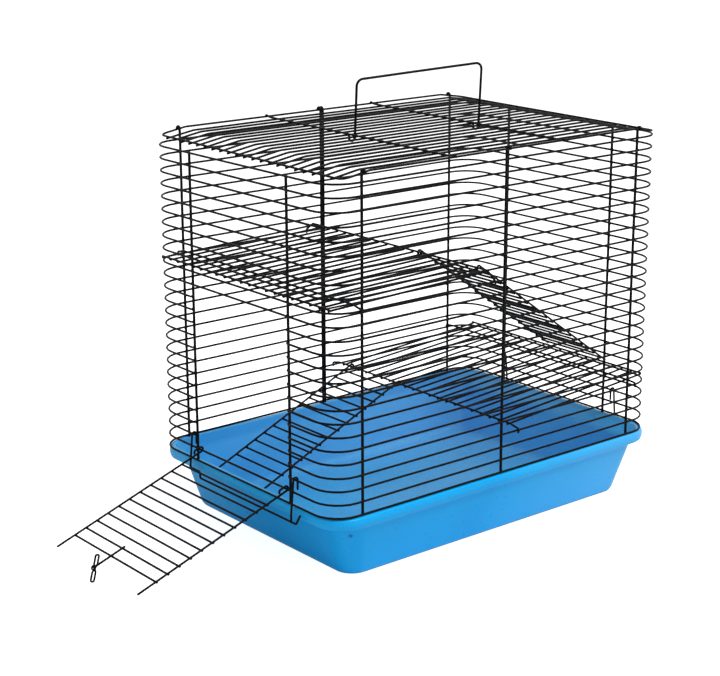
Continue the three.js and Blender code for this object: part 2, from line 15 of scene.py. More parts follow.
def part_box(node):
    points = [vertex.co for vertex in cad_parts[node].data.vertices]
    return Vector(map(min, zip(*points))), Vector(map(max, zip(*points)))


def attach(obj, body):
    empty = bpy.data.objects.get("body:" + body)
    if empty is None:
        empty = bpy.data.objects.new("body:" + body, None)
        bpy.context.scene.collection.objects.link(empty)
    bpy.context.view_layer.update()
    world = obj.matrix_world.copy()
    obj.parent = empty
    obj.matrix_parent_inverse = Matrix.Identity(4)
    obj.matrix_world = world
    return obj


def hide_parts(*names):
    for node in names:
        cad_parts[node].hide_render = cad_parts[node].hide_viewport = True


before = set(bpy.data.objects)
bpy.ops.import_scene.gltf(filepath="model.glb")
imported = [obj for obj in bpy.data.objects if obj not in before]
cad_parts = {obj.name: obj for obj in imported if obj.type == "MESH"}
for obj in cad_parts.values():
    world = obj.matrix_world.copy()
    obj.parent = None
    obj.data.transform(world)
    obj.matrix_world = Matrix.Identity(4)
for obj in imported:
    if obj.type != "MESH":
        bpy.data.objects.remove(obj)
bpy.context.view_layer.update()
print("construction pieces:", len(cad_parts))

# %% [markdown]
# The cage is measured before anything is drawn. Wires are sold by thickness, so those are typed in.
# The places of the wires are read from the boxes of the construction pieces, so that the round wires
# always lie where the square ones lie. Everything here is counted in millimetres, and the meshes are
# scaled to metres at the very end.

# %% Measures
mm = 0.001
wire = 0.9
post_wire = 1.2
handle_wire = 1.1
catch_wire = 0.8
pitch = 12.7
seat = 0.3
weld_sink = 0.4
hook = 2.4
cross_step = 2 * wire - weld_sink


def box(node):
    low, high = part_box(node)
    return Vector(low) / mm, Vector(high) / mm


def middle(node):
    low, high = box(node)
    return (low + high) / 2


def wall_wire(number):
    return f"wall_wire_{number:02d}"


def wall_z(number):
    return middle(wall_wire(number)).z


wire_count = 25
upper_shelf_wire, lower_shelf_wire = 10, 21
door_top_wire, lock_wire, hinge_wire = 12, 23, 24
half_x = box(wall_wire(wire_count))[1].x - wire
half_y = box(wall_wire(wire_count))[1].y - wire
corner_radius = 27.5
end_post_y = middle("door_post_back").y
print("wall centre lines, mm:", round(2 * half_x, 2), "by", round(2 * half_y, 2))

# %% [markdown]
# A wire is bent round pins, so its path is straight stretches joined by arcs. A curve object with
# bezier handles would do, but exact arcs are easier to reason about: give the corners and the radius
# of the bending pin, and the path follows.

# %% Paths of bent wire
arc_step = radians(14)


def arc(centre, radius, start, end):
    """Points round a flat arc. The angles are in degrees, and the arc may run either way."""
    start, end = radians(start), radians(end)
    steps = max(3, round(abs(end - start) / arc_step))
    turns = [start + (end - start) * i / steps for i in range(steps + 1)]
    return [(centre[0] + radius * cos(turn), centre[1] + radius * sin(turn)) for turn in turns]


def bend(corners, radius, closed=False):
    """The path of a wire bent round a pin of this radius at each corner."""
    corners = [Vector(corner) for corner in corners]
    path = []
    for i, corner in enumerate(corners):
        before, after = corners[i - 1], corners[(i + 1) % len(corners)]
        if not closed and i in (0, len(corners) - 1):
            path.append(corner)
            continue
        arriving = (corner - before).normalized()
        leaving = (after - corner).normalized()
        turn = arriving.angle(leaving)
        start = corner - arriving * radius * tan(turn / 2)
        inward = (leaving - arriving * cos(turn)).normalized()
        centre = start + inward * radius
        axis = arriving.cross(leaving).normalized()
        steps = max(3, round(turn / arc_step))
        path += [
            centre + Matrix.Rotation(turn * k / steps, 3, axis) @ (start - centre) for k in range(steps + 1)
        ]
    return path


def upright_along_x(points, y):
    return [Vector((u, y, v)) for u, v in points]


def upright_along_y(points, x):
    return [Vector((x, u, v)) for u, v in points]


# %% [markdown]
# Real wires of this price are never quite straight. They spring back a little after the bend, and the
# grid gets pushed about when it is packed. A smooth three-dimensional noise, read at the wire's own
# place, moves each path by a few tenths of a millimetre. It needs points along the straight stretches,
# so those are filled in first. Blender starts this noise from the clock unless it is given a seed, so
# it gets one, and every run bends the wires alike.

# %% Small unevenness
filling = 16
grain = 95
noise.seed_set(1)


def filled(path, closed=False):
    """The same path with points no further apart than the filling."""
    ends = path[1:] + ([path[0]] if closed else [])
    result = []
    for start, end in zip(path, ends):
        steps = max(1, round((end - start).length / filling))
        result += [start.lerp(end, k / steps) for k in range(steps)]
    return result if closed else result + [path[-1]]


def wavered(path, seed, sideways=0.3, upward=0.3):
    """The path pushed gently off its line. Each seed gives another wire's unevenness."""
    shift = Vector((seed * 7.31, seed * 3.17, seed * 5.93))
    result = []
    for point in path:
        push = noise.noise_vector(point / grain + shift)
        result.append(point + Vector((push.x * sideways, push.y * sideways, push.z * upward)))
    return result


# %% [markdown]
# Now the wire itself. A curve with a bevel would make a tube too, but its cut ends are flat or open and
# its beads would be separate objects. Here rings of points are set square to the path and joined, each
# ring turned as little as possible from the one before, so the wire doesn't twist. The baked coating
# makes the wire a little thicker than it was drawn and gives cut ends a small rounded nose.

# %% Round wire
sides = 12
coating = 0.15
nose_rings = ((0.5, 0.0), (0.86, 0.22), (1.0, 0.5))


class Wirework:
    """Points and faces of all the wires and beads that make one piece."""

    def __init__(self):
        self.points = []
        self.faces = []

    def ring(self, centre, across, side, radius):
        first = len(self.points)
        for k in range(sides):
            turn = 2 * pi * k / sides
            self.points.append(centre + (across * cos(turn) + side * sin(turn)) * radius)
        return first

    def join(self, lower, upper):
        for k in range(sides):
            after = (k + 1) % sides
            self.faces.append((lower + k, lower + after, upper + after, upper + k))

    def cap(self, first, turned):
        order = range(sides) if turned else reversed(range(sides))
        self.faces.append(tuple(first + k for k in order))

    def wire(self, path, radius, closed=False):
        """A round wire along the path, with its coating."""
        path = [Vector(point) for point in path]
        radius += coating
        count = len(path)
        rings = []
        across = None
        for i, point in enumerate(path):
            before = path[i - 1] if closed or i > 0 else point
            after = path[(i + 1) % count] if closed or i < count - 1 else point
            along = (after - point).normalized() + (point - before).normalized()
            along.normalize()
            across = along.orthogonal() if across is None else across - along * across.dot(along)
            across.normalize()
            side = along.cross(across)
            if closed or 0 < i < count - 1:
                rings.append(self.ring(point, across, side, radius))
                continue
            inward = 1 if i == 0 else -1
            noses = [
                self.ring(point + along * inward * depth * radius, across, side, radius * width)
                for width, depth in nose_rings
            ]
            rings += noses if i == 0 else noses[::-1]
        pairs = list(zip(rings, rings[1:]))
        for lower, upper in pairs:
            self.join(lower, upper)
        if closed:
            self.join(rings[-1], rings[0])
        else:
            self.cap(rings[0], False)
            self.cap(rings[-1], True)


# %% [markdown]
# Where two wires cross they are welded: pressed together while a current melts the touching spot. The
# metal squeezes out into a small bead, and the coating runs into the corners and rounds them further.
# A flattened ball at each crossing gives that thickening. Each is a little different in size.

# %% Weld beads
bead_rings = (-66, -33, 0, 33, 66)
bead_spread = 1.42
bead_change = 0.22
bead_grain = 3


def bead(work, place, between, size=wire + coating):
    """A weld bead at a place. between points from one wire to the other."""
    place = Vector(place)
    between = Vector(between).normalized()
    across = between.orthogonal().normalized()
    side = between.cross(across)
    size = size * (1 + bead_change * noise.noise(place / bead_grain))
    rings = []
    for angle in bead_rings:
        turn = radians(angle)
        lift = between * size * sin(turn)
        rings.append(work.ring(place + lift, across, side, size * bead_spread * cos(turn)))
    for lower, upper in zip(rings, rings[1:]):
        work.join(lower, upper)
    work.cap(rings[0], False)
    work.cap(rings[-1], True)


# %% [markdown]
# One short function turns finished wirework into a piece of the scene. It scales it to metres, gives it
# its finish, hides the square wires that it stands for and lets it ride with the body that they move with.

# %% From wirework to a piece
up, across_x, across_y = Vector((0, 0, 1)), Vector((1, 0, 0)), Vector((0, 1, 0))
totals = {"pieces": 0, "faces": 0}


def make_piece(name, points, faces, finish, body, node):
    mesh = bpy.data.meshes.new(name)
    mesh.from_pydata([point * mm for point in points], [], faces)
    mesh.shade_smooth()
    mesh.materials.append(finish)
    piece = bpy.data.objects.new(name, mesh)
    bpy.context.scene.collection.objects.link(piece)
    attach(piece, body)
    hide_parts(node)
    totals["pieces"] += 1
    totals["faces"] += len(faces)
    return piece


def make_wire_piece(node, work, body="root"):
    make_piece(f"coated_{node}", work.points, work.faces, enamel, body, node)


# %% [markdown]
# The wires are dipped in black enamel and baked. It is glossy, but it flows before it sets, so the gloss
# is not even: it is a little duller in patches and has a fine orange-peel skin. A noise drives the
# roughness and a second, finer one drives a very slight bump.

# %% Black enamel
def new_material(name):
    material = bpy.data.materials.new(name)
    material.use_nodes = True
    tree = material.node_tree
    return material, tree, tree.nodes["Principled BSDF"]


def add_node(tree, kind, **values):
    """A shader node with its inputs set by name. An underscore in a name stands for a space."""
    node = tree.nodes.new(kind)
    for name, value in values.items():
        node.inputs[name.replace("_", " ")].default_value = value
    return node


def noise_at(tree, place, scale, detail=3.0, roughness=0.5):
    texture = add_node(tree, "ShaderNodeTexNoise", Scale=scale, Detail=detail, Roughness=roughness)
    tree.links.new(place, texture.inputs["Vector"])
    return texture.outputs["Fac"]


def spread(tree, value, low, high, start=0.3, end=0.7):
    """A noise value stretched from start..end to low..high."""
    node = add_node(tree, "ShaderNodeMapRange", From_Min=start, From_Max=end, To_Min=low, To_Max=high)
    tree.links.new(value, node.inputs["Value"])
    return node.outputs["Result"]


def blend_colours(tree, share, first, second):
    """A mix of two colours. Each is three numbers or comes from another node."""
    node = tree.nodes.new("ShaderNodeMix")
    node.data_type = "RGBA"
    for socket, colour in (("A", first), ("B", second)):
        target = next(s for s in node.inputs if s.name == socket and s.type == "RGBA")
        if isinstance(colour, tuple):
            target.default_value = (*colour, 1)
        else:
            tree.links.new(colour, target)
    tree.links.new(share, node.inputs["Factor"])
    return next(s for s in node.outputs if s.type == "RGBA")


def bumped(tree, shader, height, distance):
    node = add_node(tree, "ShaderNodeBump", Strength=1.0, Distance=distance)
    tree.links.new(height, node.inputs["Height"])
    tree.links.new(node.outputs["Normal"], shader.inputs["Normal"])


def black_enamel():
    material, tree, shader = new_material("black_enamel")
    place = tree.nodes.new("ShaderNodeTexCoord").outputs["Object"]
    deep, worn = (0.002, 0.002, 0.002), (0.006, 0.006, 0.007)
    patches = noise_at(tree, place, scale=160, detail=4)
    colour = blend_colours(tree, spread(tree, patches, 0, 1), deep, worn)
    tree.links.new(colour, shader.inputs["Base Color"])
    tree.links.new(spread(tree, patches, 0.26, 0.42), shader.inputs["Roughness"])
    shader.inputs["Specular IOR Level"].default_value = 0.06
    shader.inputs["IOR"].default_value = 1.5
    bumped(tree, shader, noise_at(tree, place, scale=1400, detail=2), 0.06 * mm)
    return material


enamel = black_enamel()

# %% [markdown]
# The tray is injection-moulded in a bright blue with a satin skin. A soft noise varies the colour a
# little and a finer one varies the gloss. Towards the back right corner the blue is painted paler: a
# painted sheen for light that falls from that side, and a place's distance along one slanting direction
# says how much. A small moulded mark on the front is a dimple, and the distance from its middle gives it
# its depth and a darker blue, painted shade in the hollow.

# %% Blue moulded plastic
def blue_plastic(dimple):
    material, tree, shader = new_material("blue_moulded_plastic")
    place = tree.nodes.new("ShaderNodeTexCoord").outputs["Object"]
    deep, bright, sheen_pale = (0.0, 0.35, 0.8), (0.0, 0.41, 0.88), (0.14, 0.5, 0.92)
    pit_painted_shade = (0.0, 0.12, 0.4)
    clouds = spread(tree, noise_at(tree, place, scale=9, detail=2), 0, 1)
    colour = blend_colours(tree, clouds, deep, bright)
    # Painted sheen: the blue turns paler towards the back right corner, standing in for light from that
    # side.
    slanting = add_node(tree, "ShaderNodeVectorMath")
    slanting.operation = "DOT_PRODUCT"
    tree.links.new(place, slanting.inputs[0])
    slanting.inputs[1].default_value = (0.6, 0.8, 0)
    painted_sheen = spread(tree, slanting.outputs["Value"], 0, 1, -0.12, 0.16)
    colour = blend_colours(tree, painted_sheen, colour, sheen_pale)
    gap = add_node(tree, "ShaderNodeVectorMath")
    gap.operation = "DISTANCE"
    tree.links.new(place, gap.inputs[0])
    gap.inputs[1].default_value = dimple
    pit = spread(tree, gap.outputs["Value"], 1, 0, 1.6 * mm, 2.6 * mm)
    # Painted shade: the middle of the dimple is painted a darker blue for the shade in the hollow.
    colour = blend_colours(tree, spread(tree, pit, 0, 0.8, 0, 1), colour, pit_painted_shade)
    tree.links.new(colour, shader.inputs["Base Color"])
    marks = noise_at(tree, place, scale=240, detail=6, roughness=0.65)
    tree.links.new(spread(tree, marks, 0.26, 0.34), shader.inputs["Roughness"])
    shader.inputs["IOR"].default_value = 1.49
    shader.inputs["Specular IOR Level"].default_value = 0.2
    height = add_node(tree, "ShaderNodeMath")
    height.operation = "SUBTRACT"
    tree.links.new(noise_at(tree, place, scale=260, detail=2), height.inputs[0])
    tree.links.new(spread(tree, pit, 0, 6, 0, 1), height.inputs[1])
    bumped(tree, shader, height.outputs[0], 0.02 * mm)
    return material


dimple_place = Vector((-181.8, -132, 44)) * mm
plastic = blue_plastic(dimple_place)
print("finishes:", enamel.name, "and", plastic.name)

# %% [markdown]
# The tray is a thin shell with drafted walls, so that it leaves the mould, and a lip that rolls outwards
# to stiffen it. It could be a box with bevels, but its plan changes with height: the ends overhang more
# than the sides. So it is lofted: each level is a rounded rectangle of its own, and the profile that
# runs through the levels is eased at every turn.

# %% Tray levels
tray_height = box("tray")[1].z
wall_thickness = 2
foot_round, foot_rise, wall_rise = 2, 2.5, tray_height - 11.7
all_round = Vector((1, 1, 1))


def around_cage(overhang_x, overhang_y, radius):
    """Half length, half width and corner radius, measured from the middle of the wall wires."""
    return Vector((half_x + overhang_x, half_y + overhang_y, radius))


rim = around_cage(1.5, 3.5, 31)
rim_inside = around_cage(-5, -3.5, 23.1)
wall_top = around_cage(-15.5, -1.5, 23.9)
base = wall_top - Vector((12.9, 13.7, 3.9))


def level(size, inset, z):
    return Vector((*(size - all_round * inset), z))


# Each turn of the profile: its level, and how far from the turn the easing starts
tray_turns = [
    (level(base, foot_round, 0), 0),
    (level(base, 0, foot_rise), 1.6),
    (level(wall_top, 0, wall_rise), 5),
    (level(rim, 1.5, tray_height - 10.7), 1.2),
    (level(rim, 0, tray_height - 6.7), 2),
    (level(rim, 0.5, tray_height - 1.2), 1.4),
    (level(rim, 3, tray_height), 1.2),
    (level(rim_inside, 0, tray_height), 1.6),
    (level(wall_top, wall_thickness, wall_rise), 4),
    (level(base, wall_thickness, wall_thickness + foot_rise), 2),
    (level(base, wall_thickness + foot_round, wall_thickness), 0),
]
ease_steps = 6


def eased(turns):
    """The profile through the levels, with a short parabola at each turn."""
    profile = []
    for i, (here, reach) in enumerate(turns):
        if not reach:
            profile.append(here)
            continue
        before, after = turns[i - 1][0], turns[i + 1][0]
        start = here.lerp(before, reach / hypot(*(before - here)))
        end = here.lerp(after, reach / hypot(*(after - here)))
        for k in range(ease_steps + 1):
            share = k / ease_steps
            profile.append(start.lerp(here, share).lerp(here.lerp(end, share), share))
    return profile


profile = eased(tray_turns)
print("tray profile:", len(profile), "levels")

# %% [markdown]
# A moulded tray this thin also warps as it cools: its long walls pull in by a fraction of a millimetre
# half-way along. The outline gets enough points on its straight sides to carry that, and a smooth
# noise on top keeps the reflections from being dead straight. The cage also stands a touch off the
# middle of the tray, so the tray is shifted by that much.

# %% Tray mesh
corner_steps = 12
side_steps = 20
tray_shift = 1.2
warp = 0.5
warp_grain = 120
warp_noise_share, warp_end_share = 0.35, 0.6
floor_shares = (0.9, 0.5)


def tray_outline(size):
    """One level of the tray as points round a rounded rectangle."""
    long, wide, radius, z = size
    centres = [(long - radius, wide - radius), (radius - long, wide - radius)]
    centres += [(-x, -y) for x, y in centres]
    corners = [
        [(x + radius * cos(turn), y + radius * sin(turn)) for turn in
         [pi / 2 * (quarter + k / corner_steps) for k in range(corner_steps + 1)]]
        for quarter, (x, y) in enumerate(centres)
    ]
    outline = []
    for i, corner in enumerate(corners):
        outline += corner
        start, end = Vector(corner[-1]), Vector(corners[(i + 1) % 4][0])
        outline += [tuple(start.lerp(end, k / side_steps)) for k in range(1, side_steps)]
    return [Vector((x, y, z)) for x, y in outline]


def warped(point):
    pull = warp * max(0, point.z / tray_height)
    middle_x = 1 - (point.x / half_x) ** 2
    middle_y = 1 - (point.y / half_y) ** 2
    push = noise.noise_vector(point / warp_grain) * warp_noise_share * pull
    inward_y = -pull * middle_x * point.y / half_y
    inward_x = -pull * warp_end_share * middle_y * point.x / half_x
    return point + Vector((tray_shift + inward_x + push.x, inward_y + push.y, 0))


def shrunk(row, share):
    """A row of points moved towards the middle of the tray, at the same height."""
    return [Vector((point.x * share, point.y * share, point.z)) for point in row]


def make_tray():
    rows = [tray_outline(size) for size in profile]
    count = len(rows[0])
    underside = [shrunk(rows[0], share) for share in reversed(floor_shares)]
    floor = [shrunk(rows[-1], share) for share in floor_shares]
    rows = underside + rows + floor
    points = [warped(point) for row in rows for point in row]
    faces = []
    for row in range(len(rows) - 1):
        for k in range(count):
            after = (k + 1) % count
            lower, upper = row * count, (row + 1) * count
            faces.append((lower + k, lower + after, upper + after, upper + k))
    last = (len(rows) - 1) * count
    faces.append(tuple(reversed(range(count))))
    faces.append(tuple(range(last, last + count)))
    return make_piece("moulded_tray", points, faces, plastic, "root", "tray")


tray = make_tray()
print("tray faces:", len(tray.data.polygons))

# %% [markdown]
# Twenty-five wires go round the cage, half an inch apart. Each is one rod bent four times and butt-welded
# to itself. Those across the doorway are cut there and stop at the door posts.

# %% Wall wires
cut_room = 0.7  # the cut ends stop this far short of the middle of the door posts


def wall_path(number):
    z = wall_z(number)
    corners = [(-half_x, half_y, z), (half_x, half_y, z), (half_x, -half_y, z), (-half_x, -half_y, z)]
    if not door_top_wire <= number < hinge_wire:
        return bend(corners, corner_radius, closed=True), True
    end = end_post_y + cut_room
    return bend([(-half_x, end, z), *corners, (-half_x, -end, z)], corner_radius), False


for number in range(1, wire_count + 1):
    path, closed = wall_path(number)
    work = Wirework()
    work.wire(wavered(filled(path, closed), number), wire, closed)
    make_wire_piece(wall_wire(number), work)
print("wall wires:", wire_count)

# %% [markdown]
# Thicker upright wires hold the rings together from the inside. On the long walls they run on past the
# top wire and curl over the edge of the roof panel, which is how the roof is held down. Every crossing
# is welded, so each post carries a bead at every ring.

# %% Posts
roof_rise, roof_droop, droop_run = 7.8, 5, 32
roof_end_x, roof_tip = half_x - 13, 2
roof_flat_half = roof_end_x + roof_tip - droop_run
roof_tilt = 2.4
post_inset = wire + post_wire + seat
post_foot = wall_z(wire_count) - wire
curl_lift = 0.1
post_seed = 40


def roof_z(x):
    past = max(abs(x) - roof_flat_half, 0)
    return wall_z(1) + roof_rise - roof_droop * past / droop_run


def tilted(point):
    """The roof sits a little higher at the back, where its posts are bent less tightly."""
    return point + Vector((0, 0, roof_tilt * (point.y + half_y) / (2 * half_y)))


def side_post(node):
    place = middle(node)
    side = 1 if place.y > 0 else -1
    frame_z = tilted(Vector((0, side * half_y, roof_z(place.x) + cross_step))).z
    curl = arc((0, curl_lift), post_inset, 180, 0)
    outline = [(-post_inset, post_foot - frame_z), *curl, (post_inset, -wire)]
    path = [Vector((place.x, side * (half_y + u), frame_z + v)) for u, v in outline]
    return path, Vector((place.x, side * (half_y - post_inset / 2), 0)), across_y


def end_post(node):
    place = middle(node)
    side = 1 if place.x > 0 else -1
    path = [Vector((place.x, place.y, post_foot)), Vector((place.x, place.y, wall_z(1) + wire))]
    return path, Vector((side * (half_x - post_inset / 2), place.y, 0)), across_x


side_posts = ["front_left_post", "front_middle_post", "front_right_post", "back_left_post",
              "back_seam_post_left", "back_seam_post_right", "back_right_post"]
end_posts = ["door_post_back", "door_post_front", "right_end_post_back", "right_end_post_front"]

for seed, node in enumerate(side_posts + end_posts):
    path, weld_line, between = side_post(node) if node in side_posts else end_post(node)
    work = Wirework()
    work.wire(wavered(filled(path), post_seed + seed, sideways=0.2, upward=0), post_wire)
    for number in range(1, wire_count + 1):
        bead(work, weld_line + up * wall_z(number), between)
    make_wire_piece(node, work)
print("posts:", len(side_posts + end_posts))

# %% [markdown]
# The roof is one welded panel: a grid of long wires that droop at both ends to meet the end walls, two
# bent frame wires that the posts hold down, and two cross wires that carry the handle.

# %% Roof panel
grid_margin = 8
grid_half = int((half_y - grid_margin) / pitch)
roof_shift = 0.4
grid_lines = [i * pitch + roof_shift for i in range(-grid_half, grid_half + 1)]
droop_bend = 30
frame_corner = 8
handle_wire_x = 68.2
roof_hook_run, roof_hook_end = 5, 120
grid_seed, frame_seed = 60, 85


def hook_over(level, run, radius, end):
    """A hook over a wire at (0, 0). It comes from -u at a level, curls over it and ends at an angle
    from straight up."""
    start = atan2(level, run) - asin(radius / hypot(level, run))
    return [(-run, level), *arc((0, 0), radius, 90 - start * 180 / pi, 90 - end)]


def shifted(points, u, v):
    return [(a + u, b + v) for a, b in points]


def both_ways(points):
    """A half wire and its mirror image, as one wire."""
    return [(-u, v) for u, v in reversed(points)] + list(points)


def make_roof():
    work = Wirework()

    def add_wire(path):
        work.wire([tilted(point) for point in filled(path)], wire)

    def add_bead(x, y):
        bead(work, tilted(Vector((x, y, roof_z(x) + cross_step / 2))), up)

    for i, y in enumerate(grid_lines):
        tip = roof_end_x + roof_tip
        half = [(roof_flat_half, roof_z(0)), (tip, roof_z(tip))]
        path = bend(upright_along_x(both_ways(half), y), droop_bend)
        add_wire(wavered(filled(path), grid_seed + i, sideways=0.35, upward=0.3))
    slope = roof_z(roof_end_x) + cross_step
    edge_z = roof_z(0) + cross_step
    corners = [(roof_end_x, side * half_y, slope) for side in (-1, 1)]
    for side in (-1, 1):
        bent = [(side * roof_flat_half, -half_y, edge_z)]
        bent += [(side * x, y, z) for x, y, z in corners]
        bent += [(side * roof_flat_half, half_y, edge_z)]
        add_wire(wavered(filled(bend(bent, frame_corner)), frame_seed + side, sideways=0.3, upward=0.2))
        add_wire([Vector((x, side * half_y, edge_z)) for x in (-roof_flat_half, roof_flat_half)])
        for y in grid_lines:
            add_bead(side * roof_end_x, y)
    for side in (-1, 1):
        x = side * handle_wire_x
        curl = hook_over(0, roof_hook_run, cross_step, roof_hook_end)
        curl = shifted(curl, half_y, roof_z(0) + cross_step)
        add_wire(upright_along_y(both_ways(curl), x))
        for y in grid_lines:
            add_bead(x, y)
    make_wire_piece("roof_panel", work)


make_roof()
print("roof grid lines:", len(grid_lines))

# %% [markdown]
# The handle is one thicker wire. Each foot is bent into a small open eye that hangs under a roof cross
# wire, and its two feet are hooked two grid spaces apart, so it stands slightly askew.

# %% Carrying handle
handle_eye = 3.15
eye_drop = 2.5
eye_curl = 4.5
handle_corner = 6.5
handle_left_top = (-67, 53.2)
handle_right_top = (71, 61)
handle_lean = radians(6)
left_foot, right_foot = 0.3, -1.7  # in grid spaces from the middle of the roof
handle_seed = 90


def make_handle():
    left_y, right_y = left_foot * pitch + roof_shift, right_foot * pitch + roof_shift
    yaw = atan2(right_y - left_y, 2 * handle_wire_x)
    span = handle_wire_x / cos(yaw)
    left = arc((-span, -eye_drop), handle_eye, 180, 360)
    right = arc((span, -eye_drop), handle_eye, 0, -180)
    corners = [left[-1], handle_left_top, handle_right_top, right[0]]
    grip = bend(upright_along_x(corners, 0), handle_corner)
    left = upright_along_x([(-span - handle_eye, eye_curl - eye_drop), *left[:-1]], 0)
    right = upright_along_x([*right[1:], (span - handle_eye, eye_curl - eye_drop)], 0)
    turn = Matrix.Rotation(yaw, 3, "Z") @ Matrix.Rotation(handle_lean, 3, "X")
    foot = tilted(Vector((0, (left_y + right_y) / 2, roof_z(0) + cross_step)))
    path = [turn @ point + foot for point in [*left, *grip, *right]]
    work = Wirework()
    work.wire(wavered(filled(path), handle_seed, sideways=0.15, upward=0.3), handle_wire)
    make_wire_piece("carrying_handle", work, "handle")


make_handle()
print("handle over the roof, mm:", round(box("carrying_handle")[1].z - roof_z(0), 1))

# %% [markdown]
# Each shelf is a welded grid that hangs in the cage: the ends of two of its cross wires are bent into
# hooks that sit over wall wires. The upper shelf is almost level, and the lower one falls by one wall
# wire towards the middle of the cage.

# %% Shelves
shelf_end_x = half_x - 5
shelf_tip = 1
shelf_hook_run, shelf_hook_end = 9, 150


class Shelf:
    """A shelf hangs from an inner and an outer hook wire. Each is given by how far it is from the middle
    of the cage, the wall wire that it hooks over and its lift above that wire. Its grid may sit a
    little aside, towards the back."""

    def __init__(self, node, side, spacing, aside, inner, outer):
        self.node, self.side, self.spacing, self.aside = node, side, spacing, aside
        self.inner_x, self.inner_wire, self.inner_lift = inner
        self.outer_x, self.outer_wire, self.outer_lift = outer

    def z(self, distance):
        inner_z = wall_z(self.inner_wire) + self.inner_lift
        outer_z = wall_z(self.outer_wire) + self.outer_lift
        share = (distance - self.inner_x) / (self.outer_x - self.inner_x)
        return inner_z + (outer_z - inner_z) * share

    def hook_wire(self, distance, number):
        centre = wall_z(number)
        curl = hook_over(self.z(distance) - centre, shelf_hook_run, hook, shelf_hook_end)
        return upright_along_y(both_ways(shifted(curl, half_y, centre)), self.side * distance)


def make_shelf(shelf, seed):
    work = Wirework()
    lines = [i * shelf.spacing + shelf.aside for i in range(-grid_half, grid_half + 1)]
    long_ends = (lines[0] - shelf_tip, lines[-1] + shelf_tip)
    ends = (shelf.inner_x - shelf_tip, shelf_end_x + shelf_tip)
    for i, y in enumerate(lines):
        path = [Vector((shelf.side * x, y, shelf.z(x) - cross_step)) for x in ends]
        work.wire(wavered(filled(path), seed + i, sideways=0.5), wire)
    end_x, end_z = shelf.side * shelf_end_x, shelf.z(shelf_end_x)
    work.wire(filled([Vector((end_x, y, end_z)) for y in long_ends]), wire)
    work.wire(filled(shelf.hook_wire(shelf.outer_x, shelf.outer_wire)), wire)
    work.wire(filled(shelf.hook_wire(shelf.inner_x, shelf.inner_wire)), wire)
    for distance in (shelf.inner_x, shelf.outer_x, shelf_end_x):
        for y in lines:
            bead(work, (shelf.side * distance, y, shelf.z(distance) - cross_step / 2), up)
    make_wire_piece(shelf.node, work)


upper_shelf = Shelf("upper_shelf", side=-1, spacing=13.1, aside=0,
                    inner=(half_x - 191.15, upper_shelf_wire, 9.5),
                    outer=(half_x - 30.85, upper_shelf_wire, 4.4))
lower_shelf = Shelf("lower_shelf", side=1, spacing=pitch, aside=-1.5,
                    inner=(half_x - 192.65, lower_shelf_wire + 1, 4.4),
                    outer=(half_x - 28.75, lower_shelf_wire, 3.1))
for seed, shelf in ((120, upper_shelf), (150, lower_shelf)):
    make_shelf(shelf, seed)
    print(shelf.node, "heights, mm:", round(shelf.z(shelf.inner_x)), "and", round(shelf.z(shelf_end_x)))

# %% [markdown]
# The ramps are ladders of the same wire. Two rails curl over a shelf's inner wire, and the rungs are
# welded under them. The upper ramp hangs askew, because its foot slid sideways on the lower shelf.

# %% Ramps
ramp_tip = 1.2
ramp_pitch = 13.2
ramp_hook_end = -140


def slant_to(run, fall, offset):
    """How steeply a rail runs down when its line keeps an offset from both ends."""
    return atan2(fall, run) + asin(offset / hypot(run, fall))


def make_ramp(shelf, node, shares, shift, first_rung, reach, foot_z, offset, seed):
    """A ladder that hangs from a shelf's inner wire and reaches a foot at a distance and a height.
    The shares place its two rails, in grid spaces of the shelf."""
    facing = -shelf.side
    start_x, start_z = shelf.side * shelf.inner_x, shelf.z(shelf.inner_x)
    front_y, back_y = (share * shelf.spacing for share in shares)
    yaw = atan2(shift, reach)
    run = reach / cos(yaw)
    slant = slant_to(run, start_z - foot_z, offset)
    length = (run - hook * sin(slant)) / cos(slant)
    work = Wirework()
    curl = arc((0, 0), hook, 90 - ramp_hook_end, 90 - slant * 180 / pi)
    foot = (curl[-1][0] + length * cos(slant), curl[-1][1] - length * sin(slant))
    for y in (front_y, back_y):
        rail = [
            Vector((start_x + facing * u * cos(yaw), y + facing * u * sin(yaw), start_z + v))
            for u, v in [*curl, foot]
        ]
        work.wire(wavered(filled(rail), seed), wire)
    count = 1 + int((length - 2 * wire - first_rung) / ramp_pitch)
    for i in range(count):
        along = first_rung + i * ramp_pitch
        reached = along * cos(slant) + hook * sin(slant)
        x = start_x + facing * reached * cos(yaw)
        aside = facing * reached * sin(yaw)
        z = start_z - along * sin(slant) + hook * cos(slant) - cross_step / cos(slant)
        ends = (front_y + aside - ramp_tip, back_y + aside + ramp_tip)
        work.wire(wavered(filled([Vector((x, y, z)) for y in ends]), seed), wire)
        for y in (front_y + aside, back_y + aside):
            bead(work, (x, y, z + cross_step / 2 / cos(slant)), up)
    print(node, "rungs:", count, "rail, mm:", round(length))
    make_wire_piece(node, work, node)


make_ramp(upper_shelf, "upper_ramp", shares=(-9.2, -2.8), shift=41, first_rung=15,
          reach=shelf_end_x + upper_shelf.inner_x, foot_z=lower_shelf.z(shelf_end_x),
          offset=hook - 2 * wire - seat, seed=181)

lower_foot_z = 31
foot_room = 1.5
foot_share = (lower_foot_z - wall_thickness - foot_rise) / (wall_rise - wall_thickness - foot_rise)
lower_foot_x = base.x + (wall_top.x - base.x) * foot_share - wall_thickness - foot_room - wire
make_ramp(lower_shelf, "lower_ramp", shares=(2.7, 8.8), shift=9.6, first_rung=9.5,
          reach=lower_foot_x + lower_shelf.inner_x, foot_z=lower_foot_z, offset=hook, seed=183)

# %% [markdown]
# The door is a ladder that doubles as a ramp when it is let down. Each rail is bent back on itself into
# a long loop round the hinge wire. A short stem in the middle ends in an eye, which carries the catch.

